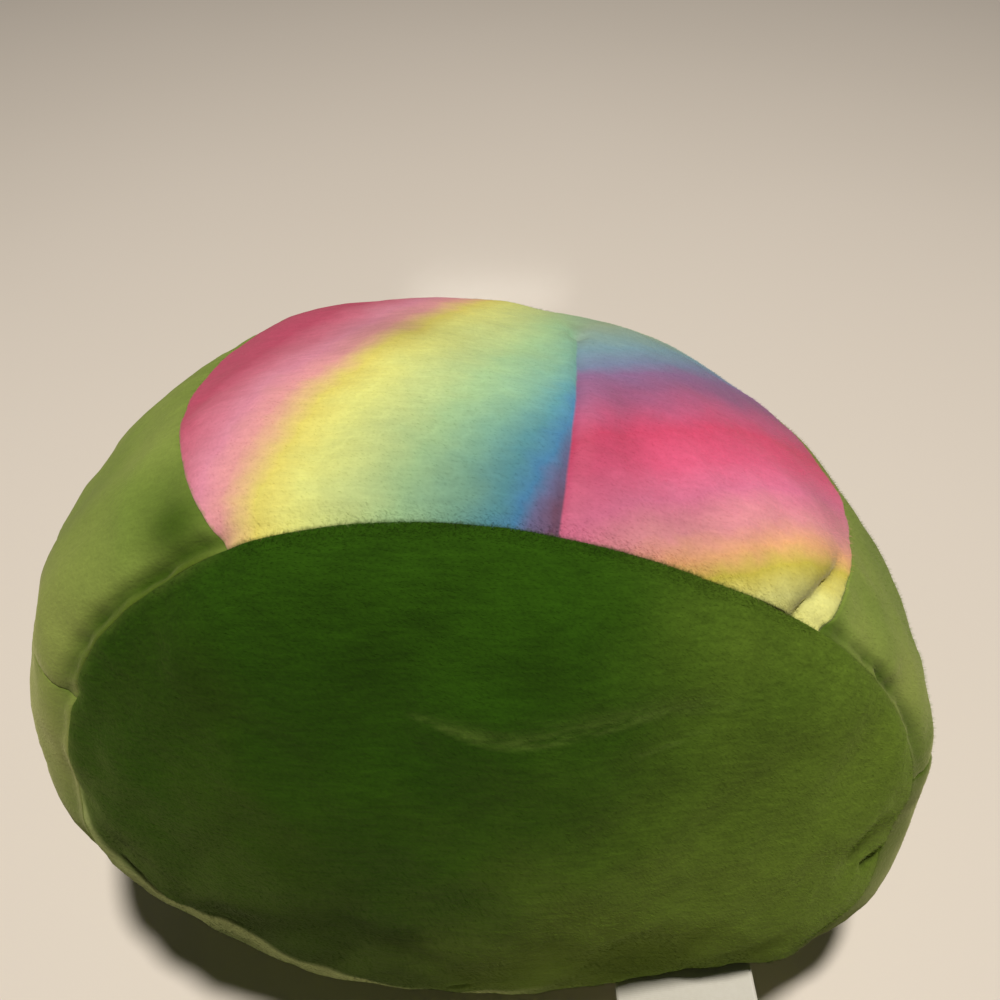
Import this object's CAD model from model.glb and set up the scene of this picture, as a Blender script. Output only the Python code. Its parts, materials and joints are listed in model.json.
import json
import math

import bmesh
import bpy
import numpy as np
from mathutils import Matrix, Vector
from mathutils.kdtree import KDTree

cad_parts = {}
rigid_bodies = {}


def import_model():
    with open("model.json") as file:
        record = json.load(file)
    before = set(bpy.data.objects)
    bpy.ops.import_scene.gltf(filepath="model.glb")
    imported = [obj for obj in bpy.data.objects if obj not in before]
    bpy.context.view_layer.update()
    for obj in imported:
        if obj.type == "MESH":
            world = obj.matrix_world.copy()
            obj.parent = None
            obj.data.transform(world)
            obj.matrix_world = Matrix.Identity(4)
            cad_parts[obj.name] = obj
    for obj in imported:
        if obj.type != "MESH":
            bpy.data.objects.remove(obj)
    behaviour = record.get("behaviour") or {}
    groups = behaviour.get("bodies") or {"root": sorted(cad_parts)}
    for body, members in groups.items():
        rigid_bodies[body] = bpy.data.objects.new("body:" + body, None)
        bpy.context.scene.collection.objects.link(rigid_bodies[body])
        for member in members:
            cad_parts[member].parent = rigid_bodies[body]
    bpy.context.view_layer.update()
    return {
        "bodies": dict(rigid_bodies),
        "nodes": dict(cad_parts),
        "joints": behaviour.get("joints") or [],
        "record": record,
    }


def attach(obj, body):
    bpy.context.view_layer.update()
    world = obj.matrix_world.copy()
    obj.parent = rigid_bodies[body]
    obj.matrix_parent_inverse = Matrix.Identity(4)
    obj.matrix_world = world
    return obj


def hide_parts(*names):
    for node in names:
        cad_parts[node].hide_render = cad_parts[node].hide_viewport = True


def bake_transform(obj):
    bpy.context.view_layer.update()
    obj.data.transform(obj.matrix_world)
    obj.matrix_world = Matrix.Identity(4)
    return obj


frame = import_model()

# Every size is in millimetres and every angle in degrees, until a mesh is made. The lamps are in metres.
MM = 0.001
UP = np.array([0.0, 0.0, 1.0])

# The stuffed body, as the CAD has it: reaches of the egg form, its taper, and the dome of its base.
HALF_WIDTH = 110
CROWN_REACH = 108.4
BASE_REACH = 107.9
BELLY_REACH = 80.4
BACK_REACH = 89.8
ROUNDNESS = 2.22
TAPER_LENGTH = 100
CROWN_NARROWING = 0.1
CROWN_THINNING = 0.02
BASE_DROP = 81.6
BASE_BEND_ACROSS = 213
BASE_BEND_DEEP = 160
RIM_ROUNDING = 12
RIM_SWAY = ((0, 0.8, 0), (1, 1.5, -1.7), (2, 3, 2.3), (3, 0, -1.7))
# The seam runs a little further out at the right and at the lower left, as lon, spread and rise.
RIM_LIFTS = ((93, 13, 2.6), (-142, 8, 1.8), (-157, 20, 1.2))
# Lumps and hollows of the filling: lon, lat, spread and share of the reach.
STUFFING_LUMPS = (
    (112, -36, 20, 0.05),
    (145, -44, 20, -0.037),
    (-135, -38, 22, -0.009),
    (-88, -30, 22, -0.018),
    (75, -22, 22, -0.027),
    (-45, 20, 25, -0.022),
)
ROLL = 13.3
TILT = -13.6
TURN = 1.6
SAG = 7

# Seams, as angles from the middle of the front.
COVER_SHIFT = -3
SIDE_SEAM_FOOT = 80
SIDE_SEAM_CROWN = 90
BELLY_FOOT = 45
BELLY_WIDEST = 52.5
BELLY_WIDEST_LAT = -4
BELLY_TOP_LAT = 42
BELLY_CORNER = 45
BELLY_SQUARING = 0.86
BELLY_BOWING = 1.5

# Velvet cover: its thickness, and how it turns in at a seam.
CLOTH = 1.2
SEAM_DEPTH = 1.5
SEAM_ROLL = 1.9
SEAM_HOLLOW = 0.4
SEAM_HOLLOW_WIDTH = 6
PUCKER_DEPTH = 0.3
PUCKER_REACH = 6
PUCKER_START = 1.2
PUCKER_LENGTHS = (5.2, 7.9, 12.5)
STITCH_LENGTH = 3.4
STITCH_DIMPLE = 0.22
STITCH_DIMPLE_WIDTH = 1.1
FOLD_LIP = 0.2
FOLD_FADE = 0.25
FOLD_LIP_OFFSET = 1.8
FOLD_LIP_WIDTH = 1.6
TUCK_HEAP = 0.35
# Unevenness of the stuffing under the cover, as height, length and seed.
UNEVENNESS = ((0.45, 46, 3), (0.12, 17, 5), (0.04, 6, 8))
# The mesh: its step on each panel, and the finer ones towards a seam.
BASE_STEP = 1.3
BELLY_STEP = 1.1
FRONT_STEP = 1.25
BACK_STEP = 1.5
FINEST_STEP = 0.14
STEP_GROWTH = 1.45
BASE_COLUMNS = 340
# The filling: how deep it lies, how uneven it is, and the rows and columns of its mesh.
FILLING_DEPTH = 6.5
FILLING_UNEVENNESS = 0.7
FILLING_ROWS = 70
FILLING_COLUMNS = 120
PILE_RADIUS = 0.035
PILE_STRAY = 0.4
# Height at which the pile starts, above the table that presses it flat, and over which it gets full.
PILE_FOOT = 2.5
PILE_FOOT_FADE = 2
# Fibres to a square millimetre, their length, and the way that they are brushed.
BASE_PILE = (1.6, 1.1, (2.4, 0.0, 0.4))
BELLY_PILE = (0.9, 1.1, (3.4, -2.2, 0.0))
SIDE_PILE = (0.8, 1.2, (2.2, 0.8, -0.8))
BACK_PILE = (0.6, 1.3, (0.8, 2.2, -0.8))
# How many times as many stand along the base seam, where the base meets the belly, how near it,
# and how much further they stray.
RIM_FUZZ = 14.0
RIM_FUZZ_WIDTH = 2.2
RIM_FUZZ_STRAY = 8.0

# The cover as a simulated cloth: a little too big, blown up, and held where it is sewn or lies on the table.
CLOTH_STEPS = 20
CLOTH_SETTINGS = {
    "quality": 6,
    "mass": 0.3,
    "tension_stiffness": 15,
    "compression_stiffness": 15,
    "shear_stiffness": 5,
    "bending_stiffness": 0.2,
    "use_pressure": True,
    "uniform_pressure_force": 4.0,
    "shrink_min": -0.03,
    "vertex_group_mass": "sewn",
}
CLOTH_UNEVENNESS = 0.3
SEWN_WIDTH = 2.6
TABLE_TOUCH = 0.5
# What is kept of its result: not the broad swelling, a share of the rest, and at most the cap.
BROAD_PASSES = 50
CLOTH_SHARE = 0.65
CLOTH_CAP = 1.5
FIELD_NEIGHBOURS = 14
FIELD_SPREAD = 3.2

# The seam round the base, as lon, depth of its crease, and depth of the valley above it.
RIM_SHAPE = (
    (-180, 0.6, 0.5),
    (-132, 0.9, 0.7),
    (-120, 1.2, 0.9),
    (-109, 0.3, 0.5),
    (-90, 0.2, 0.6),
    (-82, 0.4, 0.9),
    (-72, 0.3, 1.5),
    (-60, 0.3, 1.9),
    (-51, 0.3, 1.4),
    (-45, 0.2, 0.3),
    (-20, 0.15, 0.1),
    (20, 0.15, 0.1),
    (38, 0.15, 0.2),
    (43, 0.2, 0.8),
    (48, 0.3, 0.6),
    (52, 0.3, 1.2),
    (57, 0.3, 1.7),
    (61, 0.4, 1.0),
    (65, 0.7, 0.7),
    (70, 0.6, 0.6),
    (76, 0.2, 0.3),
    (84, 0.1, 0.0),
    (102, 0.1, 0.0),
    (110, 0.4, 0.3),
    (119, 1.0, 0.6),
    (131, 1.2, 0.9),
    (143, 0.9, 0.6),
    (180, 0.6, 0.5),
)
VALLEY_OFFSET = 2.6
VALLEY_WIDTH = 1.7
RIGHT_VALLEY = 0.8
VALLEY_SWAY = 0.5
VALLEY_SWAY_LENGTHS = (13, 21, 8)
VALLEY_UNEVENNESS = 0.3
VALLEY_LENGTHS = (17, 11, 6)
BASE_ROLL = 3.2
# How many times its depth the pile is shaded in a valley and in an outer seam.
VALLEY_SHADE = 1.5
SEAM_SHADE = 3.0
# How much darker the dye is under the pleat, how much lighter beside it, and how wide.
PLEAT_SHADE = 0.42
PLEAT_LIGHT = 0.35
PLEAT_SHADE_WIDTH = 6.0
PLEAT_END_WIDTH = 14
# Strips of the side fabric along the base seam that look like the base: their width, their share,
# and the window of lon in which they are seen.
RIM_STRIPS = ((12, 1.0, (66, 134, 14, 12)), (2.6, 0.85, (-84, -46, 8, 8)))
# The lighter edge of the base: its share, its width, and the lon where it starts on both sides.
EDGE_LIGHT = 0.34
EDGE_WIDTH = 1.7
EDGE_START = 46
# The pale turn of the base under the toy: how far it reaches above and below its line, and how it fades.
UNDER_ABOVE = 1.6
UNDER_FADE = 4.2
UNDER_BELOW = 14
UNDER_WINDOW = (0.26, 1, 0.12, 0.15)

# Hollows of the cover, and lumps where the depth is below 0: lon, lat, radius and depth.
COVER_DENTS = (
    (130, -38, 13, 1.6),
    (129, -50, 17, 4.8),
    (116, -37, 8, -1.8),
    (4.6, 16.6, 2.0, 2.2),
    (-82, -34.5, 2.6, 1.1),
    (-12, 3, 15, 1.1),
    (-48, 22, 17, -2.2),
    (-70, -9, 15, 2.0),
    (-103, -32, 10, 2.0),
    (57, -16, 14, 1.4),
    (90, -37, 14, 3.2),
    (79, -29, 8, -1.4),
)

# Where the side fabric is brushed darker, or lighter where the share is below 0: lon, lat, radius and share.
NAP_SPOTS = (
    (-53.5, -31.5, 9, 0.9),
    (-55, -26, 10, 0.4),
    (-57, -19, 9, 0.25),
    (-75, -28, 20, -0.5),
    (-95, -32, 18, -0.6),
    (-60, -17, 16, -0.2),
    (42.5, -36.8, 5, 0.8),
    (50, -33, 7, -0.3),
    (61, -30, 10, -0.5),
    (48, -20, 9, -0.2),
)

# The same for the belly.
BELLY_SPOTS = (
    (-22, -35, 22, 0.22),
    (-6, -34, 22, 0.18),
    (5, -30, 16, 0.04),
    (13, -38, 14, 0.14),
    (-27, 6, 14, 0.27),
    (-3, -10, 15, -0.16),
    (19, -15, 12, -0.09),
    (42, -14, 9, 0.18),
    (33, -8, 14, -0.12),
    (30, -23, 12, -0.1),
    (5, -23, 7, 0.07),
    (4.5, -31, 7, 0.04),
    (11, -13, 9, 0.09),
    (17, -21, 8, -0.06),
    (13.5, -38.5, 7, -0.05),
    (21, -35, 6, 0.05),
)

# Care label: two leaves of one tape, sewn into the base seam.
LABEL_LON = 132.5
LABEL_WIDTH = 35
LABEL_LENGTH = 44
LABEL_TAPE = 0.35
LABEL_YAW = 4
LABEL_DROOP = 4
LABEL_SEWN_IN = 9
LABEL_LIP = 2.4
LABEL_FOLD = 0.8
# How far apart its leaves are where they are sewn, how they bulge, hang, ripple and slip, and its mesh.
LABEL_SEWN_GAP = 0.35
LABEL_OPENING = 14
LABEL_BULGE = 0.9
LABEL_HANG = 0.0011
LABEL_ROOT_HANG = 0.02
LABEL_RIPPLES = (0.35, 0.3)
LABEL_SLIP = 0.6
LABEL_ROWS = 46
LABEL_TURN_ROWS = 10
LABEL_COLUMNS = 42

# Eyes, mouth and nostrils, on the crown.
EYE_LAT = 64
EYE_ANGLE = 78
EYE_BUMP_RADIUS = 26
EYE_BUMP_SINK = 7
EYE_FACING_UP = 50
EYE_COLUMNS = 160
EYE_STEP = 1.0
EYE_SEAM_DEPTH = 1.7
EYE_SEAM_ROLL = 2.2
EYE_PUCKER = 1.6
EYE_UNEVENNESS = 0.25
EYE_FILLING_DEPTH = 3.2
EYE_FILLING_EDGE = 0.86
EYE_FILLING_LIFT = 0.5
EYE_FILLING_ROWS = 20
EYE_SOLE_ROWS = 8
EYE_FELT = 0.9
FELT_COLUMNS = 96
TOUCH_GAP = 0.3
EYE_WHITE_RADIUS = 12
PUPIL_RADIUS = 8
GLINT_RADIUS = 2
GLINT_OFFSET = 4.2
PUPIL_RISE = 0.7
GLINT_RISE = 0.35
MOUTH_LAT = 54
MOUTH_HALF_ANGLE = 20
MOUTH_CURL = 5
MOUTH_WIDTH = 2.4
MOUTH_STITCHES = 104
MOUTH_SLANT = 0.12
NOSTRIL_LAT = 66
NOSTRIL_ANGLE = 7
NOSTRIL_RADIUS = 2.4
NOSTRIL_HEIGHT = 1
SATIN_SPACING = 0.42
SATIN_RADIUS = 0.26
# How a satin stitch lies: its points across the line that it covers, and how high they are.
SATIN_ACROSS = (-1, -0.85, -0.35, 0.35, 0.85, 1)
SATIN_LIFT = (-0.2, 0.35, 0.8, 0.8, 0.35, -0.2)
WHIP_STITCHES = 30
# How a whip stitch lies: its points from the edge of the felt outward.
WHIP_ACROSS = (-1.3, -0.3, 0.2, 0.5)
WHIP_SLANT = (0.0, 0.01, 0.02, 0.03)
WHIP_RADIUS = 0.17
CLOSING_LON = 87
CLOSING_SPAN = 14
CLOSING_CROSSINGS = 7
CLOSING_REACH = 1.1
CLOSING_DEPTH = 2.6
CLOSING_SAG = 0.4
# About how far the mouth and the closing are from the middle, which turns a width into degrees.
MOUTH_FROM_MIDDLE = 95
CLOSING_FROM_MIDDLE = 100
THREAD_RADIUS = 0.3


# The form


def aim(lon, lat):
    """Unit directions in the toy's own axes, from angles: lon 0 is the belly and lat 90 the crown."""
    lon, lat = np.broadcast_arrays(np.radians(lon), np.radians(lat))
    across = np.cos(lat)
    return np.stack([np.sin(lon) * across, np.sin(lat), np.cos(lon) * across], -1)


def angles(directions):
    """The lon and lat of directions."""
    lon = np.degrees(np.arctan2(directions[..., 0], directions[..., 2]))
    return lon, np.degrees(np.arcsin(np.clip(directions[..., 1], -1, 1)))


def unit(vectors):
    return vectors / np.maximum(np.linalg.norm(vectors, axis=-1, keepdims=True), 1e-9)


def egg_reach(d):
    ahead = np.where(d[..., 1] > 0, CROWN_REACH, BASE_REACH)
    outward = np.where(d[..., 2] > 0, BELLY_REACH, BACK_REACH)
    shares = np.abs(np.stack([d[..., 0] / HALF_WIDTH, d[..., 1] / ahead, d[..., 2] / outward]))
    return (shares**ROUNDNESS).sum(0) ** (-1 / ROUNDNESS)


def dome_reach(d):
    bend = d[..., 0] ** 2 / (2 * BASE_BEND_ACROSS) + d[..., 2] ** 2 / (2 * BASE_BEND_DEEP)
    flat = bend < 1e-6
    straight = np.where(d[..., 1] < 0, BASE_DROP / np.maximum(-d[..., 1], 1e-6), 1e6)
    bend = np.where(flat, 1, bend)
    curved = (d[..., 1] + np.sqrt(d[..., 1] ** 2 + 4 * bend * BASE_DROP)) / (2 * bend)
    return np.where(flat, straight, curved)


def reach(d):
    """How far the outside of the cover is from the middle of the stuffing."""
    egg, dome = egg_reach(d), dome_reach(d)
    mix = np.clip(0.5 + (dome - egg) / (2 * RIM_ROUNDING), 0, 1)
    rounded = np.where(mix < 1, dome + (egg - dome) * mix - RIM_ROUNDING * mix * (1 - mix), egg)
    factor = np.ones_like(egg)
    for lon, lat, spread, rise in STUFFING_LUMPS:
        away = np.degrees(np.arccos(np.clip(d @ aim(lon, lat), -1, 1)))
        factor = factor + rise * np.exp(-(away**2) / (2 * spread**2))
    return rounded * factor


lying = Matrix.Rotation(math.radians(TURN), 3, "Z")
lying = lying @ Matrix.Rotation(math.radians(TILT), 3, "X")
lying = np.array(lying @ Matrix.Rotation(math.radians(ROLL), 3, "Y"))


def hanging(d, depth):
    """Points beneath the outside of the cover, with the toy lying but not yet sagging."""
    p = d * (reach(d) - depth)[..., None]
    up = p[..., 1:2] / TAPER_LENGTH
    p = p * np.concatenate([1 - CROWN_NARROWING * up, np.ones_like(up), 1 - CROWN_THINNING * up], -1)
    return p @ lying.T


all_lon, all_lat = np.meshgrid(np.arange(0, 360, 3), np.arange(-60, 61, 3))
middle_height = -hanging(aim(all_lon, all_lat), np.zeros(all_lon.shape))[..., 2].min() - SAG
middle = UP * middle_height


def skin(d, depth=0):
    """The same points with the toy's weight on the table, which flattens every layer there."""
    depth = np.broadcast_to(np.asarray(depth, float), d.shape[:-1])
    p = hanging(d, depth)
    p[..., 2] = np.maximum(p[..., 2] + middle_height, np.maximum(depth, 0))
    return p


def skin_normal(d):
    """The outward normal at one direction."""
    side = unit(np.cross(d, [0.3, 0.9, 0.2]))
    over = np.cross(d, side)
    here = skin(d)
    normal = unit(np.cross(skin(unit(d + 0.01 * side)) - here, skin(unit(d + 0.01 * over)) - here))
    return normal * np.sign(normal @ (here - middle))


def from_middle(points):
    """Undoes the pose and the taper: vectors from the middle of the stuffing."""
    p = (points - middle) @ lying
    up = p[..., 1:2] / TAPER_LENGTH
    return p / np.concatenate([1 - CROWN_NARROWING * up, np.ones_like(up), 1 - CROWN_THINNING * up], -1)


# Seam lines: each turns shares from 0 to 1 into directions


def smooth(t):
    t = np.clip(t, 0, 1)
    return t * t * (3 - 2 * t)


def between(a, b, t):
    return a + (b - a) * t


def bell(x):
    """1 at 0, and less and less on both sides."""
    return np.exp(-(x**2))


def window(x, start, end, rise, fall):
    """1 between start and end, and 0 outside: it comes up over `rise` and goes down over `fall`."""
    return smooth((x - start) / rise) * smooth((end - x) / fall)


def wrapped(lon):
    return (lon + 180) % 360 - 180


def rim_lat(lon):
    """Where the base seam runs: along the edge of the dome, with its sway and lifts."""
    lon = np.asarray(lon, float)
    low, high = np.full(lon.shape, -89.0), np.full(lon.shape, 10.0)
    for _ in range(16):
        half = (low + high) / 2
        d = aim(lon, half)
        inside = dome_reach(d) < egg_reach(d)
        low, high = np.where(inside, half, low), np.where(inside, high, half)
    turn = np.radians(lon)
    for at, spread, rise in RIM_LIFTS:
        low = low + rise * bell(wrapped(lon - at) / spread)
    return low + sum(cosine * np.cos(n * turn) + sine * np.sin(n * turn) for n, cosine, sine in RIM_SWAY)


def rim(start, end):
    def along(t):
        lon = COVER_SHIFT + between(start, end, t)
        return aim(lon, rim_lat(lon))

    return along


def side_seam(side):
    def along(t):
        foot = rim_lat(COVER_SHIFT + side * SIDE_SEAM_FOOT)
        lon = COVER_SHIFT + side * between(SIDE_SEAM_FOOT, SIDE_SEAM_CROWN, smooth(t))
        return aim(lon, between(foot, 90, t))

    return along


def back_seam(t):
    return aim(COVER_SHIFT + 180, between(rim_lat(COVER_SHIFT + 180), 90, t))


def squared(share):
    return np.sign(share) * np.abs(share) ** BELLY_SQUARING


def belly_arc(angle):
    angle = np.radians(angle)
    rise = BELLY_TOP_LAT - BELLY_WIDEST_LAT
    lat = BELLY_WIDEST_LAT + rise * squared(np.sin(angle))
    return aim(COVER_SHIFT + BELLY_WIDEST * squared(np.cos(angle)), lat)


def belly_side(side):
    def along(t):
        lower, upper = np.clip(2 * t, 0, 1), np.clip(2 * t - 1, 0, 1)
        lat = between(rim_lat(COVER_SHIFT + side * BELLY_FOOT), BELLY_WIDEST_LAT, lower)
        lon = COVER_SHIFT + side * between(BELLY_FOOT, BELLY_WIDEST, 1 - (1 - lower) ** BELLY_BOWING)
        arc = belly_arc(90 - side * (90 - BELLY_CORNER * upper))
        return np.where((t > 0.5)[..., None], arc, aim(lon, lat))

    return along


def belly_top(t):
    return belly_arc(between(180 - BELLY_CORNER, BELLY_CORNER, t))


class Trail:
    """A line on the skin, even along its length: a seam, a fold or a crease."""

    def __init__(self, directions, spacing=0.4):
        places = skin(directions)
        lengths = np.concatenate([[0], np.cumsum(np.linalg.norm(np.diff(places, axis=0), axis=1))])
        self.length = lengths[-1]
        self.marks = np.linspace(0, self.length, max(3, int(self.length / spacing)))
        spread = [np.interp(self.marks, lengths, directions[:, axis]) for axis in range(3)]
        self.directions = unit(np.stack(spread, -1))
        self.places = skin(self.directions)
        self.headings = unit(np.gradient(self.places, axis=0))
        self.lons = np.unwrap(angles(self.directions)[0], period=360)
        self.tree = None

    def at(self, shares):
        marks = np.asarray(shares) * self.length
        spread = [np.interp(marks, self.marks, self.directions[:, axis]) for axis in range(3)]
        return unit(np.stack(spread, -1))

    def nearest(self, places):
        """Distance to the trail, mark along it, and on which side: +1 is to the left of its heading."""
        if self.tree is None:
            self.tree = KDTree(len(self.places))
            for number, place in enumerate(self.places):
                self.tree.insert(place, number)
            self.tree.balance()
        flat = places.reshape(-1, 3)
        number = np.array([self.tree.find(place)[1] for place in flat.tolist()])
        away = flat - self.places[number]
        heading = self.headings[number]
        side = np.sign((np.cross(self.places[number] - middle, heading) * away).sum(-1))
        step = self.marks[1] / 2
        ahead = np.clip((away * heading).sum(-1), -step, step)
        gap = np.linalg.norm(away - heading * ahead[:, None], axis=-1)
        shape = places.shape[:-1]
        return gap.reshape(shape), (self.marks[number] + ahead).reshape(shape), side.reshape(shape)


def seam_trail(curve):
    return Trail(curve(np.linspace(0, 1, 400)))


def fold_trail(*points):
    """A smooth trail through points that are given as lon and lat."""
    points = np.array(points, float)
    ends = np.concatenate([[2 * points[0] - points[1]], points, [2 * points[-1] - points[-2]]])
    t = np.linspace(0, 1, 12, endpoint=False)[:, None]
    rows = []
    for a, b, c, d in zip(ends, ends[1:], ends[2:], ends[3:]):
        square = (2 * a - 5 * b + 4 * c - d) * t**2
        cube = (3 * b - a - 3 * c + d) * t**3
        rows.append(0.5 * (2 * b + (c - a) * t + square + cube))
    line = np.concatenate([*rows, points[-1:]])
    return Trail(aim(line[:, 0], line[:, 1]))


def joined(*trails):
    return Trail(np.concatenate([trail.directions for trail in trails]))


def turned(trail):
    return Trail(trail.directions[::-1])


rim_belly = seam_trail(rim(-BELLY_FOOT, BELLY_FOOT))
rim_front = {side: seam_trail(rim(side * BELLY_FOOT, side * SIDE_SEAM_FOOT)) for side in (-1, 1)}
rim_back = {side: seam_trail(rim(side * SIDE_SEAM_FOOT, side * 180)) for side in (-1, 1)}
rim_whole = seam_trail(rim(-180, 180))
side_seams = {side: seam_trail(side_seam(side)) for side in (-1, 1)}
back_line = seam_trail(back_seam)
belly_sides = {side: seam_trail(belly_side(side)) for side in (-1, 1)}
belly_crest = seam_trail(belly_top)
belly_outline = joined(belly_sides[-1], belly_crest, turned(belly_sides[1]))
crown_line = joined(side_seams[-1], turned(side_seams[1]))

# Folds and creases that the photograph shows.
dart_trail = fold_trail((-2.5, -42), (-2, -34), (-0.5, -24.5), (1, -14), (2.5, -1.5), (3.5, 7.5), (4.5, 16.5))
pleat_trail = fold_trail(
    (36.7, -43), (36.8, -39.5), (37, -38), (37.6, -36), (38.5, -34), (39.7, -31.5), (41.5, -28.5),
    (43.3, -24.5), (45.5, -20),
)
slit_trail = fold_trail((93.2, -37.2), (92.9, -35.5), (92.4, -33.5), (92, -31.6))
pinch_trail = fold_trail(
    (-114, -36.4), (-117, -38), (-120.5, -38.6), (-123, -39.2), (-126, -39.6), (-129, -41),
)
dash_trail = fold_trail((-128, -44), (-131.5, -45.5), (-134.5, -47))
nick_trail = fold_trail((-181, -52.5), (-184, -53.2), (-187, -52.7))
# The turn of the base under the toy, where its pile stands up and looks pale.
under_edge = fold_trail(
    (-58, -36.5), (-70, -36.2), (-82, -36.3), (-94, -35), (-104, -34), (-112, -35.5), (-120, -37.3),
    (-127, -40.5), (-132, -44.5), (-138, -45.6), (-148, -46.5), (-160, -46.7), (-172, -47.6), (-185, -48),
    (-198, -49.6), (-211, -51),
)
base_crease = fold_trail(
    (-36, -60.5), (-26.5, -63.5), (-13.5, -66.5), (1, -66), (13.5, -63), (23, -59), (33, -54.5), (41, -49.5),
)
base_crease_low = fold_trail((27, -63.5), (30.5, -62.5), (33, -61), (35, -59.5), (36.5, -58), (39.5, -54.5))

# Creases, as trail, depth, width, lip, the share over which each end fades, and how much they shade the pile.
SLIT = (slit_trail, 2.2, 1.3, 0.2, 0.3, 1.6)
BASE_CREASES = (
    (base_crease, 0.45, 3.4, 0.3, 0.25, 1),
    (base_crease_low, 0.15, 2.2, 0.1, 0.25, 1),
    SLIT,
    (pinch_trail, 2.3, 1.3, 0.4, 0.25, 2.4),
    (dash_trail, 1.0, 0.9, 0.2, 0.25, 2.6),
    (nick_trail, 1.0, 0.9, 0.2, 0.25, 2.6),
)
DART = (dart_trail, 1.1, 1.1, 0.3, 0.12, 1)
# Lines along which the base's pile is rubbed light: trail, and width above and below it.
RUBBED_LINES = ((base_crease, 3.4, 0.7), (base_crease_low, 0.8, 0.5))
RUBBED_START = 0.5

# Soft folds, as the points that they pass, their depth and their width.
BELLY_FOLDS = (
    (((9.5, -4), (9, -14), (8, -24)), 0.6, 3.5),
    (((27, -19), (22, -28), (17, -37)), 0.8, 3.5),
    (((36, -22), (30, -29), (26, -36)), 0.5, 3.0),
    (((6, 26), (5.2, 21), (4.5, 16.5), (4.2, 11)), 0.9, 2.4),
)
FRONT_FOLDS = (
    (((43, -39), (46.5, -38), (51, -37.5)), 0.7, 2.2),
    (((61, -33.4), (64.5, -32.6), (69, -32.2), (72, -32)), 0.7, 1.4),
)


# How the cover is pressed in: each returns a depth from the distance, the mark and the side


def roll_under(gap, depth, radius):
    t = np.clip(1 - gap / radius, 0, 1)
    return depth * (1 - np.sqrt(1 - t * t))


def waves(marks, lengths, seed):
    """A wandering row of sine waves along a seam, about 1 high."""
    rng = np.random.default_rng(seed)
    total = np.zeros_like(marks)
    for length in lengths:
        drift = 0.35 * np.sin(marks * rng.uniform(0.03, 0.09) + rng.uniform(0, 6.3))
        total += np.sin(2 * np.pi * (marks / length + drift) + rng.uniform(0, 6.3))
    return total / len(lengths)


def gathers(gap, mark, seed, share=1.0):
    """Small puckers that the stitches draw up beside a seam."""
    strength = 0.55 + 0.45 * np.sin(mark * 0.045 + seed)
    fade = np.clip(gap / PUCKER_START, 0, 1) * np.exp(-gap / PUCKER_REACH)
    return PUCKER_DEPTH * share * strength * fade * waves(mark, PUCKER_LENGTHS, seed)


def seam_press(seed, share=1.0, pucker=1.0):
    def press(gap, mark, side):
        dip = SEAM_HOLLOW / (1 + (gap / SEAM_HOLLOW_WIDTH) ** 2)
        drawn = STITCH_DIMPLE * bell(gap / STITCH_DIMPLE_WIDTH) * np.cos(2 * np.pi * mark / STITCH_LENGTH)
        uneven = 0.75 + 0.25 * np.sin(mark * 0.37 + seed) * np.sin(mark * 0.11)
        sunk = uneven * (roll_under(gap, SEAM_DEPTH, SEAM_ROLL) + dip + drawn)
        return share * sunk + gathers(gap, mark, seed, pucker)

    return press


def rim_lon(mark):
    return wrapped(np.interp(mark, rim_whole.marks, rim_whole.lons))


def rim_press(gap, mark, side):
    lon = rim_lon(mark)
    at, creases, valleys = np.array(RIM_SHAPE).T
    crease, valley = np.interp(lon, at, creases), np.interp(lon, at, valleys)
    edge = valley * bell(VALLEY_OFFSET / VALLEY_WIDTH)
    away = np.where(lon > 0, gap / RIGHT_VALLEY, gap) + VALLEY_SWAY * waves(mark, VALLEY_SWAY_LENGTHS, 19)
    valley = valley * (1 + VALLEY_UNEVENNESS * waves(mark, VALLEY_LENGTHS, 37))
    cover = valley * bell((away - VALLEY_OFFSET) / VALLEY_WIDTH) + roll_under(gap, crease, SEAM_ROLL)
    base = roll_under(gap, edge + crease, BASE_ROLL)
    return np.where(side > 0, cover, base) + gathers(gap, mark, 11, 0.5 + 0.35 * (crease + valley))


def fold_press(trail, depth, width, lip, fade):
    """A soft fold, deepest midway, with the cloth heaped on its left side where it has a lip."""

    def press(gap, mark, side):
        share = mark / trail.length
        heap = bell((side * gap - FOLD_LIP_OFFSET * width) / (FOLD_LIP_WIDTH * width))
        return window(share, 0, 1, fade, fade) * (depth * bell(gap / width) - lip * heap)

    return press


def creased(trail, depth, width, lip, fade, shade):
    """A trail, how the cover is pressed in along it, and how much that shades the pile."""
    return trail, fold_press(trail, depth, width, lip, fade), shade


def folds(given):
    trails = [(fold_trail(*points), depth, width) for points, depth, width in given]
    return [creased(trail, depth, width, FOLD_LIP * depth, FOLD_FADE, 1) for trail, depth, width in trails]


def tuck_press(trail, depth, roll, rise, fade):
    """Cloth that rolls over on the left of the trail, and comes out from under it on the right."""

    def press(gap, mark, side):
        share = mark / trail.length
        strength = smooth((1 - share) / fade)
        over = roll_under(gap, depth, roll) - TUCK_HEAP * depth * bell((gap - roll) / roll)
        under = depth * np.exp(-gap / rise)
        return strength * np.where(side > 0, over, under)

    return press


def swell(places, length, seed, count=11):
    """A smooth random field, about 1 high, whose bumps are about `length` apart."""
    rng = np.random.default_rng(seed)
    headings = unit(rng.normal(size=(count, 3))) * (2 * np.pi / (length * rng.uniform(0.7, 1.4, (count, 1))))
    return np.sin(places @ headings.T + rng.uniform(0, 2 * np.pi, count)).sum(-1) / math.sqrt(count / 2)


def spotted(places, spots):
    """Adds up soft round spots, given as lon, lat, radius and share."""
    total = np.zeros(places.shape[:-1])
    for lon, lat, radius, share in spots:
        away = np.linalg.norm(places - skin(aim(lon, lat)), axis=-1)
        total += share * bell(away / radius)
    return total


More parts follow.
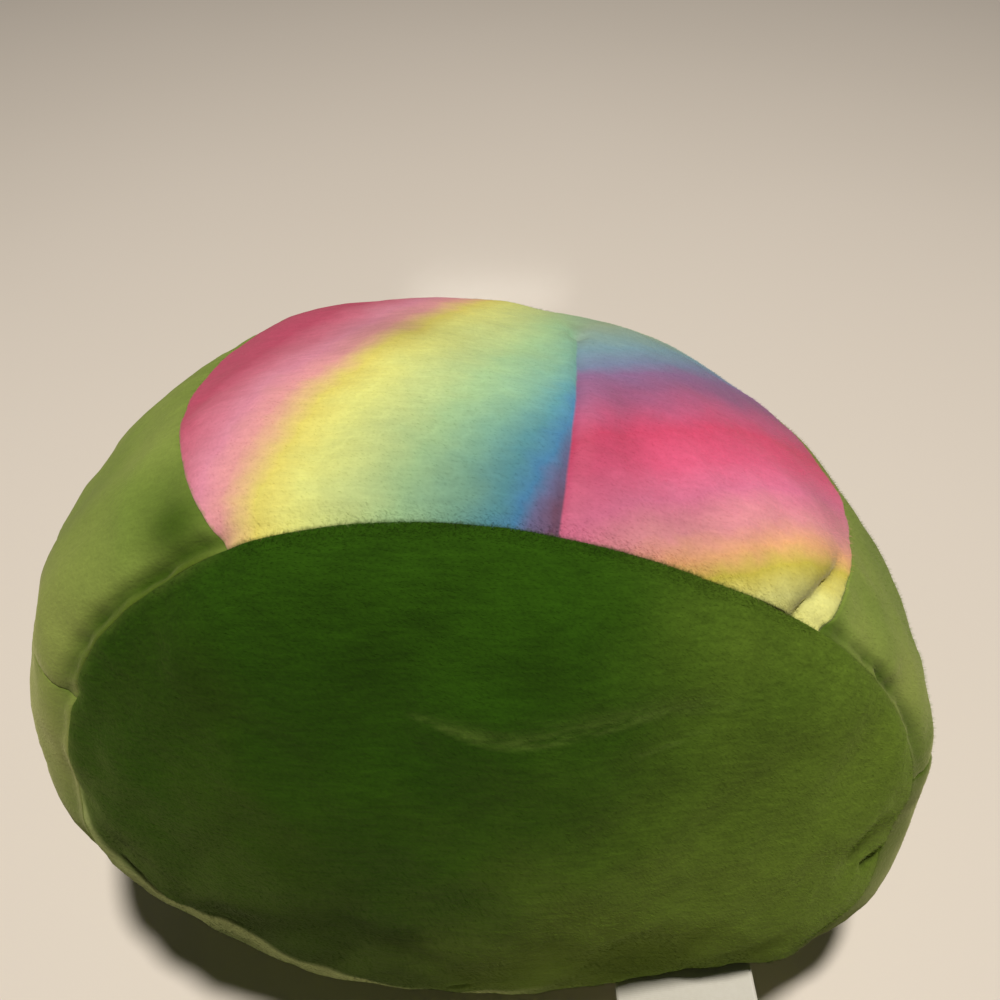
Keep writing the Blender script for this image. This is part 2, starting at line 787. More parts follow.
def cover_depth(directions, presses):
    """How deep the outside of the cover lies under the smooth form, and how much its pile is shaded."""
    places = skin(directions)
    uneven = sum(height * swell(places, length, seed) for height, length, seed in UNEVENNESS)
    uneven -= settled.rise(places)
    pressed = spotted(places, COVER_DENTS)
    shaded = np.zeros_like(uneven)
    for trail, press, shade in presses:
        more = press(*trail.nearest(places))
        pressed += more
        shaded += more * shade
    return uneven + pressed, shaded


# Meshes


def in_scene(name, data):
    """An object of the scene that shows a mesh, a camera or a light."""
    obj = bpy.data.objects.new(name, data)
    bpy.context.scene.collection.objects.link(obj)
    return obj


def object_from(name, points, faces, edges=(), layers=None):
    """An object of points in millimetres. `layers` are named numbers that its points carry."""
    mesh = bpy.data.meshes.new(name)
    mesh.from_pydata((np.asarray(points) * MM).tolist(), edges, faces)
    for layer, values in (layers or {}).items():
        mesh.attributes.new(layer, "FLOAT", "POINT").data.foreach_set("value", np.asarray(values, np.float32))
    return in_scene(name, mesh)


def close_up(obj):
    """Merges the points that coincide, turns the faces outwards and smooths the shading."""
    form = bmesh.new()
    form.from_mesh(obj.data)
    bmesh.ops.remove_doubles(form, verts=form.verts, dist=1e-6)
    bmesh.ops.dissolve_degenerate(form, edges=form.edges, dist=1e-7)
    bmesh.ops.recalc_face_normals(form, faces=form.faces)
    if form.calc_volume(signed=True) < 0:
        bmesh.ops.reverse_faces(form, faces=form.faces)
    for face in form.faces:
        face.smooth = True
    form.to_mesh(obj.data)
    form.free()
    return obj


class SettledCover:
    """The whole cover simulated as one cloth, and how far it then stands out of the smooth form."""

    def __init__(self, seams):
        ball = bmesh.new()
        bmesh.ops.create_icosphere(ball, subdivisions=6, radius=1)
        directions = unit(np.array([tuple(vertex.co) for vertex in ball.verts]))
        faces = [[vertex.index for vertex in face.verts] for face in ball.faces]
        edges = np.array([[vertex.index for vertex in edge.verts] for edge in ball.edges])
        ball.free()
        self.places = skin(directions, CLOTH_UNEVENNESS * swell(skin(directions), 21, 29))
        sewn = np.min([seam.nearest(self.places)[0] for seam in seams], 0) < SEWN_WIDTH
        sewn |= self.places[:, 2] < TABLE_TOUCH
        rise = np.zeros(len(self.places))
        rise = self.simulated(faces, sewn)
        broad = rise
        links = np.concatenate([edges, edges[:, ::-1]])
        counts = np.bincount(links[:, 0], minlength=len(rise))
        for _ in range(BROAD_PASSES):
            broad = 0.5 * broad + 0.5 * np.bincount(links[:, 0], broad[links[:, 1]], len(rise)) / counts
        self.field = CLOTH_SHARE * np.clip(rise - broad, -CLOTH_CAP, CLOTH_CAP)
        self.tree = KDTree(len(self.places))
        for number, place in enumerate(skin(directions)):
            self.tree.insert(place, number)
        self.tree.balance()

    def simulated(self, faces, sewn):
        trial = object_from("cloth_trial", self.places, faces)
        group = trial.vertex_groups.new(name="sewn")
        group.add(np.flatnonzero(sewn).tolist(), 1.0, "REPLACE")
        cloth = trial.modifiers.new("cloth", "CLOTH")
        for name, value in CLOTH_SETTINGS.items():
            setattr(cloth.settings, name, value)
        cloth.settings.effector_weights.gravity = 0
        cloth.point_cache.frame_start = 1
        cloth.point_cache.frame_end = CLOTH_STEPS
        scene = bpy.context.scene
        for frame in range(1, CLOTH_STEPS + 1):
            scene.frame_set(frame)
        mesh = trial.evaluated_get(bpy.context.evaluated_depsgraph_get()).data
        moved = np.empty(len(self.places) * 3)
        mesh.vertices.foreach_get("co", moved)
        normals = np.empty(len(self.places) * 3)
        trial.data.vertex_normals.foreach_get("vector", normals)
        away = moved.reshape(-1, 3) / MM - self.places
        scene.frame_set(1)
        bpy.data.objects.remove(trial)
        return (away * normals.reshape(-1, 3)).sum(-1)

    def rise(self, places):
        """The field at places on the smooth form."""
        found = [self.tree.find_n(place, FIELD_NEIGHBOURS) for place in places.reshape(-1, 3).tolist()]
        gaps = np.array([[hit[2] for hit in row] for row in found])
        numbers = np.array([[hit[1] for hit in row] for row in found])
        weights = bell(gaps / FIELD_SPREAD)
        return ((self.field[numbers] * weights).sum(-1) / weights.sum(-1)).reshape(places.shape[:-1])


def grid_faces(rows, columns, ring, first=0, flip=False):
    j, i = np.meshgrid(np.arange(rows - 1), np.arange(columns if ring else columns - 1), indexing="ij")
    k = (i + 1) % columns
    quads = np.stack([j * columns + i, j * columns + k, (j + 1) * columns + k, (j + 1) * columns + i], -1)
    quads = quads.reshape(-1, 4) + first
    return quads[:, ::-1] if flip else quads


def two_layers(name, outer, inner, ring=False, layers=None):
    """A closed piece from the grids of its two faces. A ring's first row is a single point."""
    rows, columns = outer.shape[:2]
    count = rows * columns
    number = np.arange(count).reshape(rows, columns)
    if ring:
        edge = np.append(number[-1], number[-1][0])
    else:
        edge = np.concatenate([number[0], number[1:, -1], number[-1, -2::-1], number[-2::-1, 0]])
    wall = np.stack([edge[:-1], edge[:-1] + count, edge[1:] + count, edge[1:]], -1)
    faces = [grid_faces(rows, columns, ring), grid_faces(rows, columns, ring, count, True), wall]
    points = np.concatenate([outer.reshape(-1, 3), inner.reshape(-1, 3)])
    both = {layer: np.tile(np.ravel(values), 2) for layer, values in (layers or {}).items()}
    if "pile" in both:
        both["pile"][count:] = 0
    return close_up(object_from(name, points, np.concatenate(faces).tolist(), layers=both))


def graded(length, step):
    """Shares of a length, finer at both ends, where a seam rolls the cloth under."""
    inset, gap = [0.0], FINEST_STEP
    while gap < step:
        inset.append(inset[-1] + gap)
        gap *= STEP_GROWTH
    inset = np.array(inset)
    count = max(2, int((length - 2 * inset[-1]) / step))
    inner = np.linspace(inset[-1], length - inset[-1], count)[1:-1]
    return np.concatenate([inset, inner, length - inset[::-1]]) / length


def fill_seams(near, far, start, end, step):
    """Directions between four seams: `near` and `far` run alike, `start` and `end` cross from near to far."""
    us = graded((near.length + far.length) / 2, step)
    vs = graded((start.length + end.length) / 2, step)
    u, v = us[None, :, None], vs[:, None, None]
    a, b, c, d = near.at(us)[None], far.at(us)[None], start.at(vs)[:, None], end.at(vs)[:, None]
    corners = (1 - u) * (1 - v) * a[:, :1] + u * (1 - v) * a[:, -1:]
    corners = corners + (1 - u) * v * b[:, :1] + u * v * b[:, -1:]
    return unit((1 - v) * a + v * b + (1 - u) * c + u * d - corners)


def stand_for(obj, node, finish, body="toy"):
    """Puts an object in a node's place, its finish and the body that carries it."""
    obj.data.materials.clear()
    obj.data.materials.append(finish)
    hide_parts(node)
    if body:
        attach(obj, body)
    return obj


def pile_share(directions):
    """How dense the pile is and how far it strays: both more beside the belly, and none near the table."""
    places = skin(directions)
    gap, mark, _ = rim_whole.nearest(places)
    beside_belly = window(rim_lon(mark), COVER_SHIFT - BELLY_FOOT, COVER_SHIFT + BELLY_FOOT, 4, 4)
    fuzz = RIM_FUZZ * beside_belly * bell(gap / RIM_FUZZ_WIDTH)
    off_table = smooth((places[..., 2] - PILE_FOOT) / PILE_FOOT_FADE)
    return (1 + fuzz) * off_table, 1 + RIM_FUZZ_STRAY * fuzz / RIM_FUZZ


def cover_panel(name, finish, directions, presses, pile, layers, ring=False):
    depth, pressed = cover_depth(directions, presses)
    dense, stray = pile_share(directions)
    carried = {"pressed": pressed, "pile": dense, "stray": stray, **layers}
    panel = two_layers(name, skin(directions, depth), skin(directions, depth + CLOTH), ring, carried)
    stand_for(panel, COVER_NODES[name], finish)
    loose_pile(panel, finish, *pile)


# Threads and pile, by Geometry Nodes


def node_tree(name, sockets):
    tree = bpy.data.node_groups.new(name, "GeometryNodeTree")
    tree.interface.new_socket("Geometry", in_out="INPUT", socket_type="NodeSocketGeometry")
    for socket, kind in sockets.items():
        tree.interface.new_socket(socket, in_out="INPUT", socket_type=kind)
    tree.interface.new_socket("Geometry", in_out="OUTPUT", socket_type="NodeSocketGeometry")
    return tree


def put(tree, kind, settings=None, inputs=None):
    node = tree.nodes.new(kind)
    for name, value in (settings or {}).items():
        setattr(node, name, value)
    for key, value in (inputs or {}).items():
        if isinstance(value, bpy.types.NodeSocket):
            tree.links.new(value, node.inputs[key])
        else:
            node.inputs[key].default_value = value
    return node


def thread_tree():
    """Turns the edges of a mesh into threads."""
    kinds = {"Radius": "NodeSocketFloat", "Sides": "NodeSocketInt", "Finish": "NodeSocketMaterial"}
    tree = node_tree("threads", kinds)
    given = put(tree, "NodeGroupInput").outputs
    curves = put(tree, "GeometryNodeMeshToCurve", None, {"Mesh": given["Geometry"]})
    section = {"Resolution": given["Sides"], "Radius": given["Radius"]}
    section = put(tree, "GeometryNodeCurvePrimitiveCircle", None, section)
    swept = {"Curve": curves.outputs[0], "Profile Curve": section.outputs[0], "Fill Caps": True}
    swept = put(tree, "GeometryNodeCurveToMesh", None, swept)
    realized = put(tree, "GeometryNodeRealizeInstances", None, {0: swept.outputs[0]})
    painted = {"Geometry": realized.outputs[0], "Material": given["Finish"]}
    painted = put(tree, "GeometryNodeSetMaterial", None, painted)
    put(tree, "NodeGroupOutput", None, {0: painted.outputs[0]})
    return tree


def pile_tree():
    """Stands fine loose fibres on the outside of a panel."""
    kinds = {"Density": "NodeSocketFloat", "Length": "NodeSocketFloat", "Radius": "NodeSocketFloat"}
    kinds.update({"Lean": "NodeSocketVector", "Finish": "NodeSocketMaterial"})
    tree = node_tree("pile", kinds)
    given = put(tree, "NodeGroupInput").outputs
    share = put(tree, "GeometryNodeInputNamedAttribute", {"data_type": "FLOAT"}, {"Name": "pile"})
    chosen = {"operation": "MULTIPLY"}
    chosen = put(tree, "ShaderNodeMath", chosen, {0: share.outputs["Attribute"], 1: given["Density"]})
    spread = {"Mesh": given["Geometry"], "Density": chosen.outputs[0], "Seed": 7}
    spread = put(tree, "GeometryNodeDistributePointsOnFaces", None, spread)
    stray = {"Min": (-PILE_STRAY,) * 3, "Max": (PILE_STRAY,) * 3, "Seed": 3}
    stray = put(tree, "FunctionNodeRandomValue", {"data_type": "FLOAT_VECTOR"}, stray)
    freedom = put(tree, "GeometryNodeInputNamedAttribute", {"data_type": "FLOAT"}, {"Name": "stray"})
    stray = {"Vector": stray.outputs[0], "Scale": freedom.outputs["Attribute"]}
    stray = put(tree, "ShaderNodeVectorMath", {"operation": "SCALE"}, stray)
    leaning = {0: spread.outputs["Normal"], 1: given["Lean"]}
    leaning = put(tree, "ShaderNodeVectorMath", {"operation": "ADD"}, leaning)
    leaning = {0: leaning.outputs[0], 1: stray.outputs[0]}
    leaning = put(tree, "ShaderNodeVectorMath", {"operation": "ADD"}, leaning)
    upright = put(tree, "FunctionNodeAlignRotationToVector", {"axis": "Z"}, {"Vector": leaning.outputs[0]})
    fibre = {"Vertices": 3, "Radius Top": 0.0, "Radius Bottom": given["Radius"], "Depth": given["Length"]}
    fibre = put(tree, "GeometryNodeMeshCone", {"fill_type": "NGON"}, fibre)
    size = put(tree, "FunctionNodeRandomValue", {"data_type": "FLOAT"}, {2: 0.5, 3: 1.0, "Seed": 5})
    placed = {"Points": spread.outputs["Points"], "Instance": fibre.outputs["Mesh"]}
    placed.update({"Rotation": upright.outputs[0], "Scale": size.outputs[1]})
    placed = put(tree, "GeometryNodeInstanceOnPoints", None, placed)
    realized = put(tree, "GeometryNodeRealizeInstances", None, {0: placed.outputs[0]})
    painted = {"Geometry": realized.outputs[0], "Material": given["Finish"]}
    painted = put(tree, "GeometryNodeSetMaterial", None, painted)
    put(tree, "NodeGroupOutput", None, {0: painted.outputs[0]})
    return tree


def grown(source, name, tree, **values):
    """A plain mesh object made by a tree from a source object."""
    grower = source.modifiers.new("grower", "NODES")
    grower.node_group = tree
    for item in tree.interface.items_tree:
        if item.in_out == "INPUT" and item.name in values:
            grower[item.identifier] = values[item.name]
    source.data.update()
    evaluated = source.evaluated_get(bpy.context.evaluated_depsgraph_get())
    mesh = bpy.data.meshes.new_from_object(evaluated)
    mesh.name = name
    source.modifiers.remove(grower)
    return in_scene(name, mesh)


def threads(name, strands, radius, finish, sides=6):
    """One object of threads, each along its own row of points in millimetres."""
    points, edges = [], []
    for strand in strands:
        edges.extend((len(points) + i, len(points) + i + 1) for i in range(len(strand) - 1))
        points.extend(strand)
    lines = object_from(name + "_lines", points, [], edges)
    obj = grown(lines, name, stitch_tree, Radius=radius * MM, Sides=sides, Finish=finish)
    bpy.data.objects.remove(lines)
    for face in obj.data.polygons:
        face.use_smooth = True
    return obj


def loose_pile(panel, finish, density, length, lean):
    """The longest fibres of a panel's pile, so many to a square millimetre, brushed one way."""
    sizes = {"Density": density * 1e6, "Length": length * MM, "Radius": PILE_RADIUS * MM}
    fibres = grown(panel, panel.name + "_pile", fibre_tree, Lean=lean, Finish=finish, **sizes)
    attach(fibres, "toy")


# Shader writing


def colour(red, green, blue):
    """A colour from its sRGB numbers, 0 to 255."""

    def linear(value):
        value /= 255
        return value / 12.92 if value <= 0.04045 else ((value + 0.055) / 1.055) ** 2.4

    return (linear(red), linear(green), linear(blue), 1)


class Wire:
    """A shader socket in an expression: each operator adds its Math node."""

    def __init__(self, finish, socket):
        self.finish = finish
        self.socket = socket

    def maths(self, operation, *values):
        return self.finish.maths(operation, self, *values)

    def __add__(self, other):
        return self.maths("ADD", other)

    __radd__ = __add__

    def __sub__(self, other):
        return self.maths("SUBTRACT", other)

    def __rsub__(self, other):
        return self.finish.maths("SUBTRACT", other, self)

    def __mul__(self, other):
        return self.maths("MULTIPLY", other)

    __rmul__ = __mul__

    def __truediv__(self, other):
        return self.maths("DIVIDE", other)

    def clamped(self, low=0.0, high=1.0):
        return self.maths("MINIMUM", high).maths("MAXIMUM", low)

    def eased(self, low, high):
        """0 below low and 1 above high, smooth between them."""
        settings = {"interpolation_type": "SMOOTHSTEP"}
        return self.finish.add("ShaderNodeMapRange", settings, {0: self, 1: low, 2: high})


class Finish:
    """A material in the making."""

    def __init__(self, name):
        self.material = bpy.data.materials.new(name)
        self.material.use_nodes = True
        self.nodes = self.material.node_tree.nodes
        self.nodes.clear()

    def add(self, kind, settings=None, inputs=None, output=0):
        node = self.nodes.new(kind)
        for name, value in (settings or {}).items():
            if name == "stops":
                set_stops(node.color_ramp, value)
            else:
                setattr(node, name, value)
        for key, value in (inputs or {}).items():
            if isinstance(value, Wire):
                self.material.node_tree.links.new(value.socket, node.inputs[key])
            else:
                node.inputs[key].default_value = value
        return Wire(self, node.outputs[output])

    def maths(self, operation, *values):
        return self.add("ShaderNodeMath", {"operation": operation}, dict(enumerate(values)))

    def place(self, stretch=(1, 1, 1)):
        """Object coordinates, in metres, stretched."""
        coordinates = self.add("ShaderNodeTexCoord", output="Object")
        return self.add("ShaderNodeMapping", None, {"Vector": coordinates, "Scale": stretch})

    def noise(self, scale, detail=2.0, vector=None, roughness=0.5):
        vector = vector or self.place()
        inputs = {"Vector": vector, "Scale": scale, "Detail": detail, "Roughness": roughness}
        return self.add("ShaderNodeTexNoise", None, inputs)

    def carried(self, layer):
        return self.add("ShaderNodeAttribute", {"attribute_name": layer}, output="Fac")

    def mixed(self, first, second, factor):
        inputs = {0: factor, 6: first, 7: second}
        return self.add("ShaderNodeMix", {"data_type": "RGBA"}, inputs, output=2)

    def tinted(self, first, factor):
        """A colour made lighter or darker by a factor around 1."""
        grey = self.add("ShaderNodeCombineColor", None, {0: factor, 1: factor, 2: factor})
        inputs = {0: 1.0, 6: first, 7: grey}
        return self.add("ShaderNodeMix", {"data_type": "RGBA", "blend_type": "MULTIPLY"}, inputs, output=2)

    def ramp(self, place, stops):
        return self.add("ShaderNodeValToRGB", {"stops": stops}, {"Fac": place})

    def bump(self, height, distance, strength=1.0):
        inputs = {"Height": height, "Distance": distance, "Strength": strength}
        return self.add("ShaderNodeBump", None, inputs)

    def surface(self, **inputs):
        named = {name.replace("_", " "): value for name, value in inputs.items()}
        shader = self.add("ShaderNodeBsdfPrincipled", None, named)
        output = self.nodes.new("ShaderNodeOutputMaterial")
        self.material.node_tree.links.new(shader.socket, output.inputs["Surface"])
        return self.material


def set_stops(ramp, stops):
    while len(ramp.elements) > 1:
        ramp.elements.remove(ramp.elements[-1])
    ramp.elements[0].position, ramp.elements[0].color = stops[0]
    for position, tone in stops[1:]:
        ramp.elements.new(position).color = tone


# Velvet


def velvet(finish, base, sheen_tint, sheen, contrast=1.0, shade_in=0.3):
    """Short pile: brushed streaks, patches that lie another way, tufts, and shade where it is pressed in."""
    streaks = finish.noise(1.0, 3.0, finish.place((130, 800, 800)), 0.65) - 0.5
    patches = finish.noise(30, 3.0) - 0.5
    tufts = finish.noise(1400, 2.0)
    pressed = (finish.carried("pressed") * 0.5).clamped(-0.3, 1.0)
    shade = streaks * (0.7 * contrast) + patches * (0.6 * contrast) + (tufts - 0.5) * (0.4 * contrast) + 1.0
    shade = shade - pressed * shade_in
    return finish.surface(
        Base_Color=finish.tinted(base, shade.clamped(0.4, 1.6)),
        Roughness=1.0,
        Specular_IOR_Level=0.1,
        Sheen_Weight=sheen,
        Sheen_Roughness=0.45,
        Sheen_Tint=sheen_tint,
        Normal=finish.bump(tufts * 0.6 + streaks * 0.4, 0.0004, 0.6),
    )


DEEP_GREEN = colour(41, 73, 7)
DEEP_OLIVE = colour(46, 69, 9)
LIGHT_OLIVE = colour(98, 119, 38)
SIDE_GREEN = colour(130, 147, 66)
SIDE_DEEP = colour(104, 127, 48)
SIDE_PALE = colour(152, 159, 82)
FOLD_GREEN = colour(52, 78, 8)
EDGE_OLIVE = colour(108, 124, 52)
UNDER_PALE = colour(168, 177, 114)
EDGE_DEEP = colour(84, 104, 26)
NAP_LIGHT = colour(92, 116, 44)
GAP_GREEN = colour(26, 40, 5)


def green_velvet():
    finish = Finish("green_velvet")
    drift = finish.noise(14, 3.0)
    base = finish.mixed(SIDE_DEEP, SIDE_GREEN, drift.eased(0.3, 0.55))
    nap = finish.carried("nap") + (drift - 0.5) * 0.5
    base = finish.mixed(base, SIDE_PALE, (nap * -1.0).clamped())
    base = finish.mixed(base, FOLD_GREEN, (nap * 0.85).clamped())
    base = finish.mixed(base, EDGE_DEEP, finish.carried("edge"))
    base = finish.mixed(base, FOLD_GREEN, (finish.carried("pressed") * 0.32).clamped(0.0, 0.9))
    return velvet(finish, base, colour(206, 200, 146), 0.34, 0.5, 0.05)


def base_velvet():
    """Darker where the pile leans away, olive to the right, with two rubbed lines."""
    finish = Finish("base_velvet")
    across, down = finish.carried("across"), finish.carried("down")
    drift = (finish.noise(13, 3.0) - 0.5) * 1.35 + (finish.noise(48, 2.0) - 0.5) * 0.5
    base = finish.mixed(DEEP_GREEN, DEEP_OLIVE, (down + drift - across * 0.2).eased(-0.25, 0.35))
    base = finish.mixed(base, LIGHT_OLIVE, (across + down * 0.3 + drift * 0.5).eased(-0.3, 0.7))
    rubbed = finish.carried("rubbed")
    rubbed = rubbed * finish.noise(1.0, 3.0, finish.place((120, 500, 500)), 0.6).eased(0.25, 0.65)
    base = finish.mixed(base, NAP_LIGHT, (rubbed * 0.65).clamped())
    base = finish.mixed(base, EDGE_OLIVE, finish.carried("edge"))
    base = finish.mixed(base, UNDER_PALE, finish.carried("under"))
    base = finish.mixed(base, GAP_GREEN, (finish.carried("pressed") * 0.35 - 0.25).clamped(0.0, 0.9))
    return velvet(finish, base, colour(170, 186, 96), 0.25, 1.25)


# Belly: the dye runs in bands on either side of the dart, both placed by slanted lines in degrees.
DART_TIP_LON = 4.5
DART_TIP_LAT = 16.5
DART_LEAN = 0.122
LEFT_SLANT = 0.44
LEFT_BANDS = (
    (-66, colour(183, 74, 100)),
    (-60, colour(198, 106, 126)),
    (-55, colour(209, 132, 150)),
    (-50.5, colour(215, 148, 145)),
    (-44.5, colour(214, 201, 102)),
    (-40, colour(213, 214, 123)),
    (-33, colour(189, 202, 131)),
    (-25, colour(159, 192, 140)),
    (-18, colour(127, 172, 146)),
    (-12, colour(91, 147, 154)),
    (-8.5, colour(77, 131, 170)),
    (-6, colour(108, 106, 142)),
    (-3, colour(114, 80, 103)),
)
RIGHT_SLANT = 0.6
RIGHT_BANDS = (
    (-58, colour(206, 203, 123)),
    (-53, colour(194, 180, 74)),
    (-49.5, colour(222, 165, 116)),
    (-45, colour(213, 138, 143)),
    (-39, colour(211, 113, 143)),
    (-32, colour(207, 87, 120)),
    (-25, colour(197, 71, 103)),
    (-20, colour(182, 86, 120)),
    (-13, colour(147, 92, 128)),
    (-7, colour(137, 102, 141)),
    (-2, colour(119, 129, 158)),
    (5, colour(121, 154, 165)),
    (10, colour(132, 161, 154)),
    (18, colour(150, 167, 136)),
)
STRIP_PINK = colour(229, 153, 163)
# The pile of the green panels, where it lies over the edge of the belly.
BESIDE_BASE = colour(58, 84, 16)
BESIDE_SIDES = colour(122, 138, 62)


def bands(finish, place, stops):
    first, last = stops[0][0], stops[-1][0]
    shares = [((at - first) / (last - first), tone) for at, tone in stops]
    return finish.ramp((place - first) * (1 / (last - first)), shares)


def tie_dye_velvet():
    finish = Finish("tie_dye_velvet")
    lon, lat = finish.carried("lon"), finish.carried("lat")
    bleed = (finish.noise(38, 3.0) - 0.5) * 7.0 + (finish.noise(160, 2.0) - 0.5) * 3.0
    left = bands(finish, lon - (lat + 38.0) * LEFT_SLANT + bleed, LEFT_BANDS)
    right = bands(finish, lat - lon * RIGHT_SLANT + bleed, RIGHT_BANDS)
    above = (lat - DART_TIP_LAT).clamped(0.0, 40.0)
    past_dart = lon - (lat - DART_TIP_LAT) * DART_LEAN - DART_TIP_LON
    strip = past_dart.eased(0.2, 1.2) * (1.0 - past_dart.eased(2.0, 5.0)) * (1.0 - lat.eased(-24.0, 0.0))
    right = finish.mixed(right, STRIP_PINK, strip * 0.06)
    side = (past_dart / (above * 0.8 + 0.25) * 0.5 + 0.5).eased(0.0, 1.0)
    dyed = finish.mixed(left, right, side)
    ragged = finish.noise(1.0, 2.0, finish.place((900, 500, 900)), 0.6) * 1.8 - 0.2
    dyed = finish.mixed(dyed, BESIDE_BASE, ((ragged - finish.carried("base_gap")) * 0.7).clamped())
    dyed = finish.mixed(dyed, BESIDE_SIDES, ((ragged - finish.carried("side_gap")) * 0.7).clamped())
    vein = finish.maths("ABSOLUTE", finish.noise(150, 3.0) - 0.5)
    fade = lat.eased(-6.0, 18.0) * -0.07 + (1.0 - (vein * 14.0).clamped()) * 0.05 + 1.045
    fade = fade - finish.carried("tucked") * PLEAT_SHADE - finish.carried("spots")
    return velvet(finish, finish.tinted(dyed, fade), colour(226, 214, 190), 0.3, 0.4, 0.22)


# Other finishes


def satin_tape():
    finish = Finish("label_tape")
    wave = {"Vector": finish.place(), "Scale": 700.0, "Distortion": 0.6}
    ribs = finish.add("ShaderNodeTexWave", {"bands_direction": "Y"}, wave)
    fine = finish.noise(900, 2.0)
    base = finish.mixed(colour(198, 192, 176), colour(208, 203, 189), fine)
    height = ribs * 0.5 + fine * 0.5
    return finish.surface(
        Base_Color=base,
        Roughness=fine * 0.12 + 0.42,
        Specular_IOR_Level=0.35,
        Sheen_Weight=0.2,
        Normal=finish.bump(height, 0.00004, 0.5),
    )


def felt(name, tone):
    finish = Finish(name)
    matted = finish.noise(900, 3.0)
    base = finish.tinted(tone, matted * 0.2 + 0.88)
    return finish.surface(
        Base_Color=base, Roughness=0.95, Sheen_Weight=0.3, Specular_IOR_Level=0.2,
        Normal=finish.bump(matted, 0.0002, 0.6),
    )


def thread(name, tone, shine=0.5):
    finish = Finish(name)
    twist = finish.noise(1.0, 2.0, finish.place((2600, 2600, 2600)))
    base = finish.tinted(tone, twist * 0.5 + 0.75)
    return finish.surface(
        Base_Color=base, Roughness=1.0 - shine, Specular_IOR_Level=0.5,
        Normal=finish.bump(twist, 0.00005, 0.5),
    )


def fibre_filling():
    finish = Finish("polyester_fill")
    strands = finish.noise(1.0, 4.0, finish.place((160, 700, 420)), 0.65)
    base = finish.mixed(colour(214, 212, 206), colour(244, 243, 240), strands)
    return finish.surface(
        Base_Color=base, Roughness=0.9, Sheen_Weight=0.3, Normal=finish.bump(strands, 0.001, 0.6),
    )


# Cover panels

COVER_NODES = {
    "base_cover": "base_panel",
    "belly_cover": "belly_panel",
    "front_cover": "front_panel",
    "back_cover_left": "back_panel_left",
    "back_cover_right": "back_panel_right",
    "eye_cover_left": "eye_bump_left",
    "eye_cover_right": "eye_bump_right",
}


crown_seam = (crown_line, seam_press(31, 0.3), SEAM_SHADE)


def side_layers(directions):
    """Where the side fabric looks like the base, and where it is brushed darker or lighter."""
    places = skin(directions)
    gap, mark, _ = rim_whole.nearest(places)
    lon = rim_lon(mark)
    edge = sum(share * bell(gap / width) * window(lon, *ends) for width, share, ends in RIM_STRIPS)
    return {"edge": edge, "nap": spotted(places, NAP_SPOTS)}


def base_layers(directions):
    """Where the base is rubbed, where its edge is lighter, and where it turns under the toy."""
    places = skin(directions)
    rubbed = np.zeros(places.shape[:2])
    for trail, above, below in RUBBED_LINES:
        gap, mark, side = trail.nearest(places)
        share = mark / trail.length
        width = np.where(side > 0, between(RUBBED_START, above, smooth(share / 0.35)), below)
        rubbed += bell(gap / width) * window(share, 0, 1, 0.08, 0.14)
    gap, mark, _ = rim_whole.nearest(places)
    patchy = 0.6 + 0.4 * waves(mark, (11, 19, 6), 41)
    edge = EDGE_LIGHT * patchy * bell(gap / EDGE_WIDTH) * smooth((np.abs(rim_lon(mark)) - EDGE_START) / 8)
    gap, mark, side = under_edge.nearest(places)
    below = np.clip(-side * gap, 0, None)
    under = smooth((UNDER_ABOVE - side * gap) / UNDER_FADE) * bell(below / UNDER_BELOW)
    under *= window(mark / under_edge.length, *UNDER_WINDOW)
    toward = {"across": directions[..., 0], "down": -directions[..., 2]}
    return {**toward, "rubbed": rubbed, "edge": edge, "under": under}


def belly_layers(directions):
    """Where the dye is placed, what darkens or lightens it, and how near the belly's seams are."""
    places = skin(directions)
    lon, lat = angles(directions)
    gap, mark, side = pleat_trail.nearest(places)
    upward = smooth((pleat_trail.length - mark) / (0.6 * pleat_trail.length))
    tucked = np.where(side > 0, bell(gap / PLEAT_SHADE_WIDTH), -PLEAT_LIGHT * smooth((gap - 0.6) / 2))
    return {
        "lon": lon,
        "lat": lat,
        "tucked": upward * tucked * bell(gap / PLEAT_END_WIDTH),
        "spots": spotted(places, BELLY_SPOTS),
        "base_gap": rim_whole.nearest(places)[0],
        "side_gap": belly_outline.nearest(places)[0],
    }


def make_base():
    middle_of_base = np.array([0.0, -1.0, 0.0])
    around = rim_whole.at(np.linspace(0, 1, BASE_COLUMNS, endpoint=False))
    shares = graded(2 * HALF_WIDTH, BASE_STEP)
    shares = 2 * shares[: len(shares) // 2 + 1]
    outward = np.clip(1 - shares, 0, 1)[::-1, None, None]
    outward[0] = 0
    directions = unit(between(middle_of_base, around[None], outward))
    presses = [(rim_whole, rim_press, 1)] + [creased(*crease) for crease in BASE_CREASES]
    cover_panel("base_cover", base_finish, directions, presses, BASE_PILE, base_layers(directions), True)


def make_belly():
    directions = fill_seams(rim_belly, belly_crest, belly_sides[-1], belly_sides[1], BELLY_STEP)
    presses = [
        (rim_whole, rim_press, 1),
        (belly_outline, seam_press(23, 0.17, 0.5), 1),
        creased(*DART),
        (pleat_trail, tuck_press(pleat_trail, 1.9, 4.2, 7.5, 0.5), 0),
    ] + folds(BELLY_FOLDS)
    cover_panel("belly_cover", belly_finish, directions, presses, BELLY_PILE, belly_layers(directions))


def make_front():
    directions = fill_seams(belly_outline, crown_line, rim_front[-1], rim_front[1], FRONT_STEP)
    presses = [
        (rim_whole, rim_press, VALLEY_SHADE),
        (belly_outline, seam_press(23, 0.17, 0.6), SEAM_SHADE),
        crown_seam,
    ] + eye_rings + folds(FRONT_FOLDS)
    cover_panel("front_cover", green_finish, directions, presses, SIDE_PILE, side_layers(directions))


